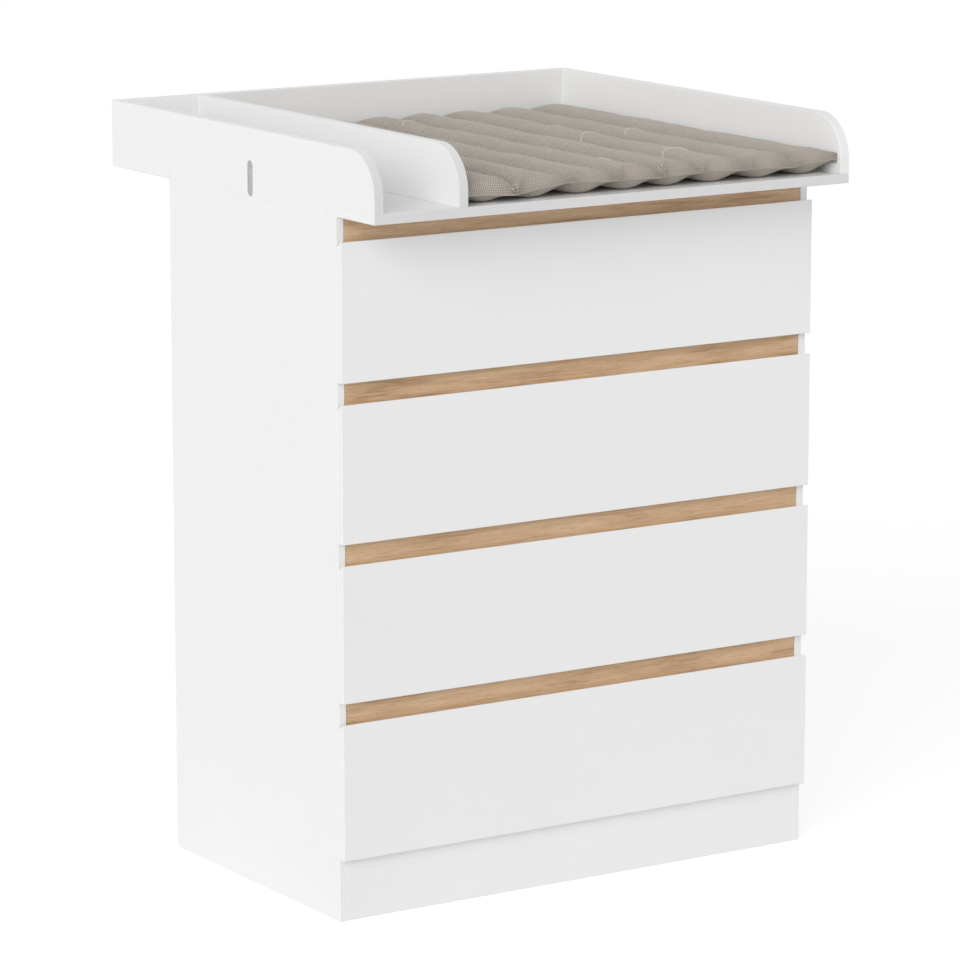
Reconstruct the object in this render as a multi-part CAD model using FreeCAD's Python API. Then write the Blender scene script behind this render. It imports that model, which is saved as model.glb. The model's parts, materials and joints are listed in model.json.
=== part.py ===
import FreeCAD, Part
import math
import os

from FreeCAD import Vector

# Changing dresser: a four-drawer chest with a lipped changing tray and a quilted mat.
# Millimetres. X runs left to right, Y from front to back, Z up. The origin lies on the
# floor, under the middle of the tray, which reaches past the chest at front and back.

# ---- chest ------------------------------------------------------------------
CHEST_WIDTH = 800.0
SIDE_DEPTH = 468.0
SIDE_THICKNESS = 12.0
SHELF_THICKNESS = 16.0
PLINTH_THICKNESS = 12.0
BACK_THICKNESS = 3.0
BACK_INSET = 12.0
LOWEST_FRONT_LIFT = 90.0
TOP_REVEAL = 34.0
BOTTOM_SHELF_DROP = 6.0
EDGE_BREAK = 0.7
# how far a cutter reaches past the face that it opens
CUT_PAST = 1.0

# ---- drawers ----------------------------------------------------------------
DRAWER_COUNT = 4
FRONT_HEIGHT = 196.5
FRONT_GAP = 30.0
FRONT_THICKNESS = 12.0
FRONT_BUFFER = 0.5
GRIP_FLAT = 1.8
GRIP_DROP = 7.0
BOX_DEPTH = 420.0
BOX_HEIGHT = 150.0
BOX_BOARD = 12.0
BOX_LIFT = 8.0
DRAWER_BOTTOM_THICKNESS = 3.0
DRAWER_BOTTOM_LIFT = 10.0

# ---- wooden rails -----------------------------------------------------------
RAIL_THICKNESS = 16.0
RAIL_LAP = 8.0
RAIL_RECESS = 0.8
RAIL_END_GAP = 0.3
DOWEL_DIAMETER = 8.0
DOWEL_LENGTH = 30.0
DOWEL_IN_SIDE = 9.0
DOWEL_FLATS = 12

# ---- grooves for thin panels ------------------------------------------------
GROOVE_DEPTH = 5.0
GROOVE_PLAY = 0.4

# ---- telescopic runners -----------------------------------------------------
RUNNER_LENGTH = 400.0
RUNNER_SETBACK = 4.0
RUNNER_HEIGHT = 35.0
RUNNER_SPACE = 13.0
RUNNER_SHEET = 1.0
RUNNER_PLAY = 0.4
RUNNER_LIFT = 52.0
# how far from the side panel each flange ends, and where its ball tracks run
OUTER_TIP = 6.4
MIDDLE_TIP = 11.4
INNER_TIP = 6.6
OUTER_TRACK = 4.3
INNER_TRACK = 9.0
TRACK_RADIUS = 1.1

# ---- changing tray ----------------------------------------------------------
TRAY_DEPTH = 740.0
TRAY_FRONT_OVERHANG = 100.0
TRAY_BASE_THICKNESS = 14.0
TRAY_BOARD = 15.0
TRAY_WALL_HEIGHT = 84.0
TRAY_CORNER_RADIUS = 64.0
POCKET_WIDTH = 121.0
LAP_IN_FRONT = 22.0
LOCK_PLATE_WIDTH = 15.0
LOCK_PLATE_HEIGHT = 51.0
LOCK_PLATE_THICKNESS = 1.5
LOCK_PLATE_SINK = 1.0
LOCK_PLATE_LIFT = 1.5
LOCK_PLATE_RIM = 1.3
LOCK_PLATE_DISH = 0.4
LOCK_DIMPLE_DIAMETER = 5.0
LOCK_DIMPLE_DEPTH = 0.9

# ---- fasteners --------------------------------------------------------------
SCREW_SHANK = 4.0
SCREW_HEAD = 9.0
SCREW_HEAD_HEIGHT = 2.4
SCREW_BITE = 9.0
SCREW_HOLE_PLAY = 0.5
SCREW_ROWS = 2
SCREW_COLUMNS = 3
SCREW_MARGIN_X = 90.0
SCREW_MARGIN_Y = 70.0
CAM_DIAMETER = 15.0
CAM_DEPTH = 12.0
CAM_FROM_END = 24.0
CAM_MARGIN_Y = 60.0
CAM_SLOT_WIDTH = 2.2
CAM_SLOT_DEPTH = 2.0
CAM_SLOT_LENGTH = 10.0

# ---- changing mat -----------------------------------------------------------
MAT_CHANNELS = 8
MAT_SIDE_GAP = 3.0
MAT_BACK_GAP = 10.0
MAT_FRONT_INSET = 7.0
MAT_REST_GAP = 0.3
MAT_CREST = 36.0
MAT_SEAM_TOP = 20.0
MAT_SEAM_BOTTOM = 9.0
MAT_HEM_HEIGHT = 16.0
MAT_HEM_THICKNESS = 4.0
MAT_HEM_ARCH = 1.0
MAT_DRAW_IN = 4.0
# distance in from the hem, and how full the channels are there
MAT_STATIONS = ((0.0, 0.0), (7.0, 0.45), (20.0, 0.75), (45.0, 0.93), (95.0, 1.0))

# ---- places worked out from the sizes ---------------------------------------
FRONT_PITCH = FRONT_HEIGHT + FRONT_GAP
CHEST_HEIGHT = (LOWEST_FRONT_LIFT + DRAWER_COUNT * FRONT_HEIGHT
                + (DRAWER_COUNT - 1) * FRONT_GAP + TOP_REVEAL)
HALF_WIDTH = CHEST_WIDTH / 2
INNER_HALF = HALF_WIDTH - SIDE_THICKNESS
TRAY_FRONT = -TRAY_DEPTH / 2
TRAY_BACK = TRAY_DEPTH / 2
CHEST_FRONT = TRAY_FRONT + TRAY_FRONT_OVERHANG
CHEST_BACK = CHEST_FRONT + SIDE_DEPTH
BACK_PANEL_REAR = CHEST_BACK - BACK_INSET
BACK_PANEL_FRONT = BACK_PANEL_REAR - BACK_THICKNESS
RAIL_FRONT = CHEST_FRONT + RAIL_RECESS
RAIL_BACK = RAIL_FRONT + RAIL_THICKNESS
BOTTOM_SHELF_TOP = LOWEST_FRONT_LIFT - BOTTOM_SHELF_DROP
BOTTOM_SHELF_UNDER = BOTTOM_SHELF_TOP - SHELF_THICKNESS
TOP_SHELF_UNDER = CHEST_HEIGHT - SHELF_THICKNESS

FRONT_REAR = CHEST_FRONT - FRONT_BUFFER
FRONT_FACE = FRONT_REAR - FRONT_THICKNESS
BOX_HALF = INNER_HALF - RUNNER_SPACE
BOX_INNER_HALF = BOX_HALF - BOX_BOARD
BOX_REAR = FRONT_REAR + BOX_DEPTH

TRAY_FLOOR = CHEST_HEIGHT + TRAY_BASE_THICKNESS
TRAY_TOP = TRAY_FLOOR + TRAY_WALL_HEIGHT
LAP_FRONT = CHEST_FRONT - LAP_IN_FRONT
TRAY_INNER_HALF = HALF_WIDTH - TRAY_BOARD
DIVIDER_LEFT = -TRAY_INNER_HALF + POCKET_WIDTH
DIVIDER_RIGHT = DIVIDER_LEFT + TRAY_BOARD
BACK_BOARD_FRONT = TRAY_BACK - TRAY_BOARD


# ---- helpers ----------------------------------------------------------------
def box(x_low, x_high, y_low, y_high, z_low, z_high):
    corner = Vector(x_low, y_low, z_low)
    return Part.makeBox(x_high - x_low, y_high - y_low, z_high - z_low, corner)


def board(x_low, x_high, y_low, y_high, z_low, z_high):
    """A panel with every arris lightly broken, as edge banding leaves it."""
    solid = box(x_low, x_high, y_low, y_high, z_low, z_high)
    return solid.makeChamfer(EDGE_BREAK, solid.Edges)


def upright_disc(radius, height, x, y, z):
    return Part.makeCylinder(radius, height, Vector(x, y, z))


def mirror_x(solid):
    return solid.mirror(Vector(0, 0, 0), Vector(1, 0, 0))


def both_sides(solid):
    """A left piece and its right-hand twin."""
    return [solid, mirror_x(solid)]


def prism_along_x(outline, x_low, x_high):
    """Extrudes an outline of (y, z) points across the chest."""
    points = [Vector(x_low, y, z) for y, z in outline]
    face = Part.Face(Part.makePolygon(points + points[:1]))
    return face.extrude(Vector(x_high - x_low, 0, 0))


def prism_along_y(outline, y_low, y_high):
    """Extrudes an outline of (x, z) points from front to back."""
    points = [Vector(x, y_low, z) for x, z in outline]
    face = Part.Face(Part.makePolygon(points + points[:1]))
    return face.extrude(Vector(0, y_high - y_low, 0))


def save(node, *solids):
    """Writes one sub-part; several solids stay separate in one group."""
    shape = solids[0] if len(solids) == 1 else Part.makeCompound(list(solids))
    shape.exportStep(f"parts/{node}.step")
    volume = sum(solid.Volume for solid in solids)
    print(f"{node}: {len(solids)} solid(s), {volume / 1000:.1f} cm3")


def front_bottom(number):
    """Lower edge of a drawer front; drawer 1 is the top one."""
    return LOWEST_FRONT_LIFT + (DRAWER_COUNT - number) * FRONT_PITCH


# ---- chest ------------------------------------------------------------------
def rail_spans():
    """Name, lower edge and upper edge of each rail. The fronts lap the rails."""
    spans = [("rail_top", front_bottom(1) + FRONT_HEIGHT - RAIL_LAP, CHEST_HEIGHT)]
    for number in range(2, DRAWER_COUNT + 1):
        top_edge = front_bottom(number) + FRONT_HEIGHT
        spans.append((f"rail_{number}", top_edge - RAIL_LAP, top_edge + FRONT_GAP + RAIL_LAP))
    return spans


def left_dowel(z_low, z_high):
    """The fluted dowel across the joint between a rail and the left side panel."""
    radius = DOWEL_DIAMETER / 2
    y_middle = (RAIL_FRONT + RAIL_BACK) / 2
    z_middle = (z_low + z_high) / 2
    turns = [2 * math.pi * flat / DOWEL_FLATS for flat in range(DOWEL_FLATS)]
    outline = [(y_middle + radius * math.cos(turn), z_middle + radius * math.sin(turn))
               for turn in turns]
    x_low = -INNER_HALF - DOWEL_IN_SIDE
    return prism_along_x(outline, x_low, x_low + DOWEL_LENGTH)


def side_panel_left():
    panel = board(-HALF_WIDTH, -INNER_HALF, CHEST_FRONT, CHEST_BACK, 0, CHEST_HEIGHT)
    for name, z_low, z_high in rail_spans():
        panel = panel.cut(left_dowel(z_low, z_high))
    groove = box(-INNER_HALF - GROOVE_DEPTH, -INNER_HALF + CUT_PAST,
                 BACK_PANEL_FRONT - GROOVE_PLAY, BACK_PANEL_REAR,
                 BOTTOM_SHELF_UNDER - GROOVE_PLAY, CHEST_HEIGHT + CUT_PAST)
    return panel.cut(groove)


def screw_places():
    """Centres of the screws that hold the tray down."""
    x_step = 2 * (INNER_HALF - SCREW_MARGIN_X) / (SCREW_COLUMNS - 1)
    y_first = RAIL_BACK + SCREW_MARGIN_Y
    y_step = (BACK_PANEL_FRONT - SCREW_MARGIN_Y - y_first) / (SCREW_ROWS - 1)
    return [(-INNER_HALF + SCREW_MARGIN_X + column * x_step, y_first + row * y_step)
            for column in range(SCREW_COLUMNS) for row in range(SCREW_ROWS)]


def cam_places():
    """Centres of the cam locks that pull a shelf to the side panels."""
    x = INNER_HALF - CAM_FROM_END
    y_front = RAIL_BACK + CAM_MARGIN_Y
    y_rear = BACK_PANEL_FRONT - CAM_MARGIN_Y
    return [(side * x, y) for side in (-1, 1) for y in (y_front, y_rear)]


def shelf(y_front, z_under):
    """A fixed shelf between the side panels, with blind holes for its cams."""
    panel = board(-INNER_HALF, INNER_HALF, y_front, BACK_PANEL_FRONT,
                  z_under, z_under + SHELF_THICKNESS)
    for x, y in cam_places():
        panel = panel.cut(upright_disc(CAM_DIAMETER / 2, CAM_DEPTH, x, y, z_under))
    return panel


def top_shelf():
    panel = shelf(RAIL_BACK, TOP_SHELF_UNDER)
    radius = (SCREW_SHANK + SCREW_HOLE_PLAY) / 2
    for x, y in screw_places():
        panel = panel.cut(upright_disc(radius, SHELF_THICKNESS, x, y, TOP_SHELF_UNDER))
    return panel


def bottom_shelf():
    return shelf(CHEST_FRONT + PLINTH_THICKNESS, BOTTOM_SHELF_UNDER)


def back_panel():
    reach = INNER_HALF + GROOVE_DEPTH - GROOVE_PLAY / 2
    return box(-reach, reach, BACK_PANEL_FRONT, BACK_PANEL_REAR,
               BOTTOM_SHELF_UNDER, CHEST_HEIGHT)


def plinth_front():
    return board(-INNER_HALF, INNER_HALF, CHEST_FRONT, CHEST_FRONT + PLINTH_THICKNESS,
                 0, LOWEST_FRONT_LIFT + RAIL_LAP)


def plinth_rear():
    return board(-INNER_HALF, INNER_HALF, BACK_PANEL_FRONT - PLINTH_THICKNESS,
                 BACK_PANEL_FRONT, 0, BOTTOM_SHELF_UNDER)


def rail(z_low, z_high):
    """A wooden rail, a hair short of the side panels, so its joints show as thin lines."""
    reach = INNER_HALF - RAIL_END_GAP
    solid = board(-reach, reach, RAIL_FRONT, RAIL_BACK, z_low, z_high)
    for dowel in both_sides(left_dowel(z_low, z_high)):
        solid = solid.cut(dowel)
    return solid


def build_chest():
    left = side_panel_left()
    save("side_panel_left", left)
    save("side_panel_right", mirror_x(left))
    save("top_shelf", top_shelf())
    save("bottom_shelf", bottom_shelf())
    save("back_panel", back_panel())
    save("plinth_front", plinth_front())
    save("plinth_rear", plinth_rear())
    dowels = []
    for name, z_low, z_high in rail_spans():
        save(name, rail(z_low, z_high))
        dowels += both_sides(left_dowel(z_low, z_high))
    save("rail_dowels", *dowels)


# ---- fasteners --------------------------------------------------------------
def tray_screw(x, y):
    length = SHELF_THICKNESS + SCREW_BITE
    shank = upright_disc(SCREW_SHANK / 2, length, x, y, TOP_SHELF_UNDER)
    head = upright_disc(SCREW_HEAD / 2, SCREW_HEAD_HEIGHT, x, y,
                        TOP_SHELF_UNDER - SCREW_HEAD_HEIGHT)
    return head.fuse(shank).removeSplitter()


def cam_disc(x, y, z_under):
    disc = upright_disc(CAM_DIAMETER / 2, CAM_DEPTH, x, y, z_under)
    slot = box(x - CAM_SLOT_LENGTH / 2, x + CAM_SLOT_LENGTH / 2,
               y - CAM_SLOT_WIDTH / 2, y + CAM_SLOT_WIDTH / 2,
               z_under, z_under + CAM_SLOT_DEPTH)
    return disc.cut(slot)


def build_fasteners():
    save("tray_screws", *[tray_screw(x, y) for x, y in screw_places()])
    save("cam_locks", *[cam_disc(x, y, z_under) for x, y in cam_places()
                        for z_under in (TOP_SHELF_UNDER, BOTTOM_SHELF_UNDER)])


# ---- changing tray ----------------------------------------------------------
def tray_base():
    """Full width at both overhangs, and notched where the side walls lap the chest."""
    base = board(-HALF_WIDTH, HALF_WIDTH, TRAY_FRONT, TRAY_BACK, CHEST_HEIGHT, TRAY_FLOOR)
    notch = box(-HALF_WIDTH, -TRAY_INNER_HALF, LAP_FRONT, CHEST_BACK,
                CHEST_HEIGHT, TRAY_FLOOR)
    for cutter in both_sides(notch):
        base = base.cut(cutter)
    for x, y in screw_places():
        base = base.cut(upright_disc(SCREW_SHANK / 2, SCREW_BITE, x, y, CHEST_HEIGHT))
    return base


def wall_outline(z_low, y_back, lap):
    """Side view of a tray wall: a big round at the top front corner, and below it,
    on the outer walls, a tongue that laps down beside the base."""
    round_centre = Vector(0, TRAY_FRONT + TRAY_CORNER_RADIUS, TRAY_TOP - TRAY_CORNER_RADIUS)
    diagonal = TRAY_CORNER_RADIUS * math.sqrt(0.5)
    start = round_centre + Vector(0, -TRAY_CORNER_RADIUS, 0)
    middle = round_centre + Vector(0, -diagonal, diagonal)
    end = round_centre + Vector(0, 0, TRAY_CORNER_RADIUS)
    corners = [end, Vector(0, y_back, TRAY_TOP), Vector(0, y_back, z_low)]
    if lap:
        corners += [Vector(0, CHEST_BACK, z_low), Vector(0, CHEST_BACK, CHEST_HEIGHT),
                    Vector(0, LAP_FRONT, CHEST_HEIGHT), Vector(0, LAP_FRONT, z_low)]
    corners += [Vector(0, TRAY_FRONT, z_low), start]
    edges = [Part.Arc(start, middle, end).toShape()]
    edges += [Part.makeLine(a, b) for a, b in zip(corners, corners[1:])]
    return Part.Face(Part.Wire(edges))


def tray_wall(x_low, y_back, lap):
    face = wall_outline(TRAY_FLOOR, y_back, lap)
    face.translate(Vector(x_low, 0, 0))
    solid = face.extrude(Vector(TRAY_BOARD, 0, 0))
    return solid.makeChamfer(EDGE_BREAK, solid.Edges)


def lock_centres():
    """Where the two round ends of a lock plate have their centres."""
    y_middle = (CHEST_FRONT + CHEST_BACK) / 2
    z_low = CHEST_HEIGHT + LOCK_PLATE_LIFT + LOCK_PLATE_WIDTH / 2
    return [(y_middle, z_low), (y_middle, z_low + LOCK_PLATE_HEIGHT - LOCK_PLATE_WIDTH)]


def oblong(radius, x_low, x_high):
    """An upright slab with round ends, lying in the YZ plane."""
    ends = []
    for (y, z), way in zip(lock_centres(), (-1, 1)):
        ends.append([Vector(x_low, y - way * radius, z), Vector(x_low, y, z + way * radius),
                     Vector(x_low, y + way * radius, z)])
    lower, upper = ends
    edges = [Part.Arc(*lower).toShape(), Part.makeLine(lower[2], upper[0]),
             Part.Arc(*upper).toShape(), Part.makeLine(upper[2], lower[0])]
    face = Part.Face(Part.Wire(edges))
    return face.extrude(Vector(x_high - x_low, 0, 0))


def lock_plate(x_outer, x_inner):
    """The left lock plate: a thin rim round a dished face with two dimples."""
    radius = LOCK_PLATE_WIDTH / 2
    plate = oblong(radius, x_outer, x_inner)
    plate = plate.cut(oblong(radius - LOCK_PLATE_RIM, x_outer - CUT_PAST, x_outer + LOCK_PLATE_DISH))
    for y, z in lock_centres():
        plate = plate.cut(Part.makeCylinder(LOCK_DIMPLE_DIAMETER / 2, LOCK_DIMPLE_DEPTH,
                                            Vector(x_outer, y, z), Vector(1, 0, 0)))
    return plate


def build_tray():
    save("tray_base", tray_base())
    plate_outer = -HALF_WIDTH + LOCK_PLATE_SINK
    plate_inner = plate_outer + LOCK_PLATE_THICKNESS
    left = tray_wall(-HALF_WIDTH, TRAY_BACK, True)
    left = left.cut(oblong(LOCK_PLATE_WIDTH / 2, -HALF_WIDTH - CUT_PAST, plate_inner))
    save("tray_wall_left", left)
    save("tray_wall_right", mirror_x(left))
    save("tray_wall_back", board(-TRAY_INNER_HALF, TRAY_INNER_HALF, BACK_BOARD_FRONT,
                                 TRAY_BACK, TRAY_FLOOR, TRAY_TOP))
    save("tray_divider", tray_wall(DIVIDER_LEFT, BACK_BOARD_FRONT, False))
    save("lock_plates", *both_sides(lock_plate(plate_outer, plate_inner)))


# ---- drawers ----------------------------------------------------------------
def half_round(across, gap_middle, way, radius, offset):
    """A ball track's half round in flat steps, starting and ending at a flange's face,
    which lies offset away from the middle of the gap. It bends upwards where way is 1."""
    half = math.sqrt(radius ** 2 - offset ** 2)
    lean = radius * math.sqrt(0.5)
    steps = [(-half, offset), (-lean, lean), (0, radius), (lean, lean), (half, offset)]
    return [(across + aside, gap_middle + way * up) for aside, up in steps]


def channel(web_near, web_far, height, tip, tracks, z_middle):
    """A channel of sheet steel along the drawer: an upright web and two flanges, each
    with rolled ball tracks. A track is its distance from the side panel, the middle of
    the gap that it faces, and the way in which the sheet bulges behind it."""
    half = height / 2
    groove = (TRACK_RADIUS, RUNNER_PLAY / 2)
    bulge = (TRACK_RADIUS + RUNNER_SHEET, RUNNER_PLAY / 2 + RUNNER_SHEET)
    outside, inside = [], []
    for across, gap_middle, way in tracks:
        above, below = (bulge, groove) if way > 0 else (groove, bulge)
        outside += half_round(across, gap_middle, way, *above)
        inside += half_round(across, gap_middle, way, *below)
    if tip < web_near:
        outside.reverse()
        inside.reverse()
    flange = [(web_near, half)] + outside + [(tip, half), (tip, half - RUNNER_SHEET)]
    flange += inside[::-1] + [(web_far, half - RUNNER_SHEET)]
    outline = flange + [(across, -up) for across, up in reversed(flange)]
    y_front = CHEST_FRONT + RUNNER_SETBACK
    return prism_along_y([(-INNER_HALF + across, z_middle + up) for across, up in outline],
                         y_front, y_front + RUNNER_LENGTH)


def runner_members(number):
    """The three nested channels of one runner, each as a left and right pair. Facing
    tracks in neighbouring channels leave round paths for the balls between them."""
    z_middle = front_bottom(number) + RUNNER_LIFT + RAIL_LAP + BOX_LIFT
    step = RUNNER_SHEET + RUNNER_PLAY
    outer_gap = RUNNER_HEIGHT / 2 - RUNNER_SHEET - RUNNER_PLAY / 2
    inner_gap = outer_gap - step
    outer = channel(0, RUNNER_SHEET, RUNNER_HEIGHT, OUTER_TIP,
                    [(OUTER_TRACK, outer_gap, 1)], z_middle)
    middle = channel(step, step + RUNNER_SHEET, RUNNER_HEIGHT - 2 * step, MIDDLE_TIP,
                     [(OUTER_TRACK, outer_gap, -1), (INNER_TRACK, inner_gap, 1)], z_middle)
    inner = channel(RUNNER_SPACE, RUNNER_SPACE - RUNNER_SHEET, RUNNER_HEIGHT - 4 * step,
                    INNER_TIP, [(INNER_TRACK, inner_gap, -1)], z_middle)
    return [both_sides(member) for member in (outer, middle, inner)]


def drawer_front(z_low):
    """A full-width front whose top edge slopes down and back, to take the fingers."""
    z_high = z_low + FRONT_HEIGHT
    outline = [(FRONT_FACE, z_low), (FRONT_REAR, z_low), (FRONT_REAR, z_high - GRIP_DROP),
               (FRONT_FACE + GRIP_FLAT, z_high), (FRONT_FACE, z_high)]
    solid = prism_along_x(outline, -HALF_WIDTH, HALF_WIDTH)
    return solid.makeChamfer(EDGE_BREAK, solid.Edges)


def build_drawer(number):
    z_front = front_bottom(number)
    z_box = z_front + RAIL_LAP + BOX_LIFT
    z_groove = z_box + DRAWER_BOTTOM_LIFT
    z_bottom_top = z_groove + DRAWER_BOTTOM_THICKNESS
    z_box_top = z_box + BOX_HEIGHT
    reach = BOX_INNER_HALF + GROOVE_DEPTH
    groove = box(-reach, reach, FRONT_REAR - GROOVE_DEPTH, BOX_REAR + CUT_PAST,
                 z_groove, z_bottom_top + GROOVE_PLAY)
    side = board(-BOX_HALF, -BOX_INNER_HALF, FRONT_REAR, BOX_REAR, z_box, z_box_top)
    side = side.cut(groove)
    back = board(-BOX_INNER_HALF, BOX_INNER_HALF, BOX_REAR - BOX_BOARD, BOX_REAR,
                 z_bottom_top, z_box_top)
    bottom = box(-reach + GROOVE_PLAY / 2, reach - GROOVE_PLAY / 2,
                 FRONT_REAR - GROOVE_DEPTH + GROOVE_PLAY, BOX_REAR, z_groove, z_bottom_top)
    outer, middle, inner = runner_members(number)
    save(f"drawer_{number}_front", drawer_front(z_front).cut(groove))
    save(f"drawer_{number}_side_left", side)
    save(f"drawer_{number}_side_right", mirror_x(side))
    save(f"drawer_{number}_back", back)
    save(f"drawer_{number}_bottom", bottom)
    save(f"runner_{number}_cabinet", *outer)
    save(f"runner_{number}_middle", *middle)
    save(f"runner_{number}_drawer", *inner)


# ---- changing mat -----------------------------------------------------------
def mat_section(y, fullness, x_left, x_right):
    """One cut through the mat: a row of sewn channels, puffed above and below.
    Fullness 0 is the flat hem, and 1 is the filled middle."""
    floor = TRAY_FLOOR + MAT_REST_GAP
    hem = floor + MAT_HEM_HEIGHT
    half_hem = MAT_HEM_THICKNESS / 2

    def level(full_height, hem_height):
        return hem_height + fullness * (floor + full_height - hem_height)

    crest = level(MAT_CREST, hem + half_hem + MAT_HEM_ARCH)
    seam_top = level(MAT_SEAM_TOP, hem + half_hem)
    seam_bottom = level(MAT_SEAM_BOTTOM, hem - half_hem)
    trough = level(0.0, hem - half_hem - MAT_HEM_ARCH)
    pitch = (x_right - x_left) / MAT_CHANNELS
    seams = [x_left + pitch * index for index in range(MAT_CHANNELS + 1)]
    edges = []
    for a, b in zip(seams, seams[1:]):
        edges.append(Part.Arc(Vector(a, y, seam_top), Vector((a + b) / 2, y, crest),
                              Vector(b, y, seam_top)).toShape())
    edges.append(Part.makeLine(Vector(x_right, y, seam_top), Vector(x_right, y, seam_bottom)))
    for b, a in zip(seams[:0:-1], seams[-2::-1]):
        edges.append(Part.Arc(Vector(b, y, seam_bottom), Vector((a + b) / 2, y, trough),
                              Vector(a, y, seam_bottom)).toShape())
    edges.append(Part.makeLine(Vector(x_left, y, seam_bottom), Vector(x_left, y, seam_top)))
    return Part.Wire(edges)


def changing_mat():
    """Eight filled channels run from front to back, and the sides draw in between
    the corners."""
    y_front = TRAY_FRONT + MAT_FRONT_INSET
    y_back = BACK_BOARD_FRONT - MAT_BACK_GAP
    x_left = DIVIDER_RIGHT + MAT_SIDE_GAP
    x_right = TRAY_INNER_HALF - MAT_SIDE_GAP
    front = [(y_front + inset, fullness) for inset, fullness in MAT_STATIONS]
    rear = [(y_back - inset, fullness) for inset, fullness in reversed(MAT_STATIONS)]
    wires = []
    for y, fullness in front + rear:
        along = (y - y_front) / (y_back - y_front)
        draw_in = MAT_DRAW_IN * math.sin(math.pi * along)
        wires.append(mat_section(y, fullness, x_left + draw_in, x_right - draw_in))
    return Part.makeLoft(wires, True, True)


# ---- build ------------------------------------------------------------------
os.makedirs("parts", exist_ok=True)
build_chest()
build_fasteners()
build_tray()
for drawer_number in range(1, DRAWER_COUNT + 1):
    build_drawer(drawer_number)
mat = changing_mat()
save("changing_mat", mat)
print(f"mat valid: {mat.isValid()}, chest height {CHEST_HEIGHT:.1f} mm, top {TRAY_TOP:.1f} mm")
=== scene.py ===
# %% [markdown]
# # A changing dresser, dressed for its picture
# The construction is already there: boards, rails, drawers and runners come in as a fixed
# frame at their real size. This lesson adds what the eye reads as material: satin foil,
# oak veneer, zinc, waffle cotton, and the quilted mat, which a rigid solid can only hint
# at. All lengths are metres, +Z is up and the drawers open towards -Y.

# %% Load the frame
import json
import math

import bpy
import numpy as np
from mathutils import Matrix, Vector
from mathutils.bvhtree import BVHTree


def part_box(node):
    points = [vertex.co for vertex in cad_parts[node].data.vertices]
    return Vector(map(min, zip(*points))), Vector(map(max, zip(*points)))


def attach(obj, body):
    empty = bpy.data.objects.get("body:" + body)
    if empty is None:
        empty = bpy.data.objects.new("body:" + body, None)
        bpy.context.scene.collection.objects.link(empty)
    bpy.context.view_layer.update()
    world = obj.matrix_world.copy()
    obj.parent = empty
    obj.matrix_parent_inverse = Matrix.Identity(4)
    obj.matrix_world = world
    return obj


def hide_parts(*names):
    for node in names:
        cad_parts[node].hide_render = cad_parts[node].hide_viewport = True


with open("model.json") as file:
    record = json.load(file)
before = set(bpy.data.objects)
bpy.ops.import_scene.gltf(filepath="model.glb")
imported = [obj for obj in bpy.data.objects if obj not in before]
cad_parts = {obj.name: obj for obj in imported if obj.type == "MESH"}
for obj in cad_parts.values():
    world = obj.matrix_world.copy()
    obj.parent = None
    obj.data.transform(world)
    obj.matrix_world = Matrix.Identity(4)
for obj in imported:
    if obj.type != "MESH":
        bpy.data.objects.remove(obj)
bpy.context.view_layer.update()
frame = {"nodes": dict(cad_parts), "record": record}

NODES = frame["nodes"]

# %% [markdown]
# ## The camera
# The picture was taken from about seven metres with a long lens, from the user's left. A
# camera that far away draws parallel edges almost parallel. Its place and its two angles
# were worked out from the edges of the drawer fronts, whose real sizes are known, so they
# are real lengths and degrees here. The lens follows from how wide the dresser appears.

# %% Camera
CAMERA_PLACE = Vector((-3.734, -5.821, 1.919))
CAMERA_TURN = math.radians(32.73)
CAMERA_DIP = math.radians(11.23)
SENSOR_WIDTH = 36.0
LENS_LENGTH = 179.2


def make_camera():
    data = bpy.data.cameras.new("photo_camera")
    data.sensor_width = SENSOR_WIDTH
    data.lens = LENS_LENGTH
    camera = bpy.data.objects.new("photo_camera", data)
    bpy.context.scene.collection.objects.link(camera)
    camera.location = CAMERA_PLACE
    camera.rotation_euler = (math.pi / 2 - CAMERA_DIP, 0.0, -CAMERA_TURN)
    bpy.context.scene.camera = camera
    return camera


camera = make_camera()
print("camera", round(camera.data.lens, 1), "mm lens,", round(CAMERA_PLACE.length, 2), "m away")

# %% [markdown]
# ## Small helpers for node materials
# A material here is a Principled shader with a few texture nodes in front of it. Two short
# helpers keep the recipes readable: one makes the material and sets the values that are
# the same all over it, and one adds a node, sets it up and plugs in what feeds it.

# %% Helpers for node materials
def new_material(name, **values):
    """A Principled material; the values are set on the shader's own sockets."""
    made = bpy.data.materials.new(name)
    made.use_nodes = True
    shader = made.node_tree.nodes["Principled BSDF"]
    for socket, value in values.items():
        shader.inputs[socket.replace("_", " ")].default_value = value
    return made, made.node_tree, shader


def add_node(tree, kind, sockets, **settings):
    """Adds a node. A socket gets a plain value, or the output that feeds it."""
    node = tree.nodes.new("ShaderNode" + kind)
    for setting, value in settings.items():
        setattr(node, setting, value)
    for socket, value in sockets.items():
        if isinstance(value, bpy.types.NodeSocket):
            tree.links.new(value, node.inputs[socket])
        else:
            node.inputs[socket].default_value = value
    return node


def in_metres(tree, stretch=(1.0, 1.0, 1.0)):
    """The place on the piece, in metres, stretched so that a pattern can follow a grain."""
    place = add_node(tree, "TexCoord", {}).outputs["Object"]
    return add_node(tree, "Mapping", {"Vector": place, "Scale": stretch}).outputs[0]


def noise(tree, place, scale, detail=2.0, roughness=0.5):
    """A cloudy pattern of numbers; the larger its scale, the finer it is."""
    sockets = {"Vector": place, "Scale": scale, "Detail": detail, "Roughness": roughness}
    return add_node(tree, "TexNoise", sockets).outputs["Fac"]


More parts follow.
